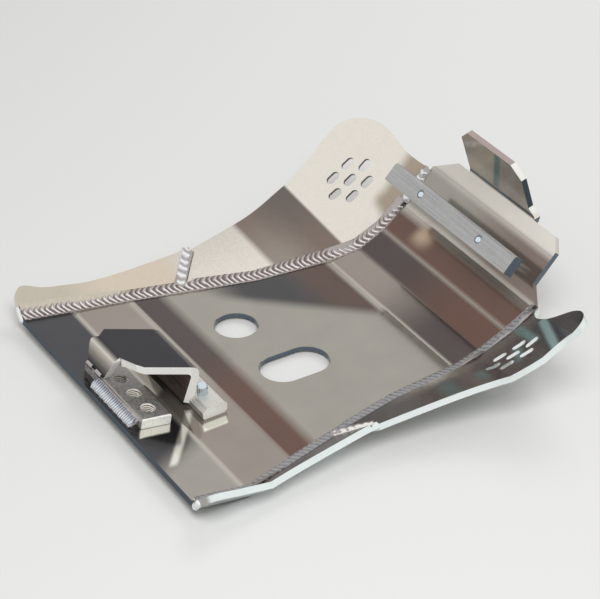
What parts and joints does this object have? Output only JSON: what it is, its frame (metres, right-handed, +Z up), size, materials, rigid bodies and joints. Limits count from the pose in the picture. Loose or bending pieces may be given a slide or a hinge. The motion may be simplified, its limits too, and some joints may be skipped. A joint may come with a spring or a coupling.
{
  "type": "motorcycle skid plate",
  "caption": "Bent aluminium skid plate for an off-road motorcycle: belly sheet with raised front, welded side wings with vent slots, rear threaded bar and bracket, and front clamp bar.",
  "frame": {"origin": "centre of the bounding box in plan, at the lowest point", "axes": "+X from the rear edge to the front flange, +Y to the left wing, +Z up out of the tray"},
  "size_m": [0.364, 0.3368, 0.1206],
  "materials": {
    "plate_sheet": "bare rolled sheet, nearly mirror bright",
    "wing_sheet": "bare rolled sheet, satin",
    "weld_bead": "bright rippled weld",
    "machined_bar": "brushed lengthwise",
    "bracket_sheet": "bare rolled sheet",
    "plated_bolt": "zinc plated"
  },
  "bodies": {
    "root": {"main_plate": "plate_sheet", "left_wing_rear": "wing_sheet", "left_wing_front": "wing_sheet", "right_wing_rear": "wing_sheet", "right_wing_front": "wing_sheet", "left_seam_weld": "weld_bead", "right_seam_weld": "weld_bead", "left_joint_weld": "weld_bead", "right_joint_weld": "weld_bead", "left_rear_corner_weld": "weld_bead", "right_rear_corner_weld": "weld_bead", "left_front_weld": "weld_bead", "rear_bar": "machined_bar", "rear_bar_weld": "weld_bead", "rear_bracket": "bracket_sheet", "bracket_tack_welds": "weld_bead", "rear_clamp_bar": "machined_bar", "rear_clamp_bolts": "plated_bolt", "front_clamp_bar": "machined_bar", "front_clamp_bolts": "plated_bolt", "front_clamp_washers": "plated_bolt"}
  },
  "joints": []
}
